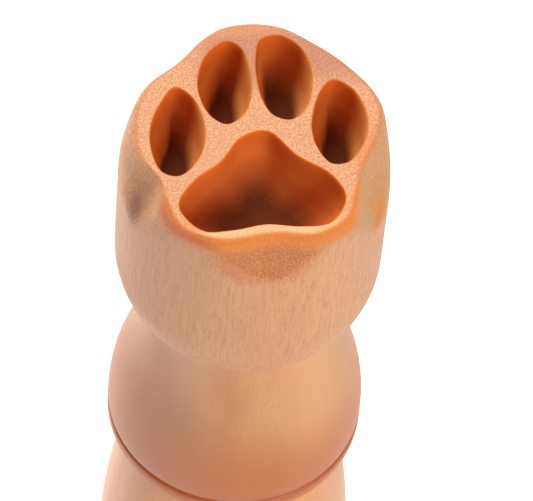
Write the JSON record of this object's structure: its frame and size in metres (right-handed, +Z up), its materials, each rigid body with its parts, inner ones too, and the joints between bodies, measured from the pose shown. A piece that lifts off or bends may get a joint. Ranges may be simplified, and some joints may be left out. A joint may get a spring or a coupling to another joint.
{
  "type": "hand stamp",
  "caption": "Turned wooden hand stamp with a barrel head, bell-shaped grip collar and flared butt; a paw print is cut into its end face for pressing into clay.",
  "frame": {"origin": "middle of the flat butt that the stamp stands on", "axes": "+Z up the turning axis to the print face, +Y from the pad to the toes of the paw, +X to the right of the paw"},
  "size_m": [0.025, 0.025, 0.075],
  "materials": {
    "head_wood": "bare, end grain sawn, cut walls burnished orange",
    "collar_wood": "sanded, satin oil",
    "butt_wood": "sanded, satin oil",
    "dowel_wood": "bare"
  },
  "bodies": {
    "root": {"stamp_head": "head_wood", "grip_collar": "collar_wood", "butt": "butt_wood", "spine_dowel": "dowel_wood"}
  },
  "joints": []
}
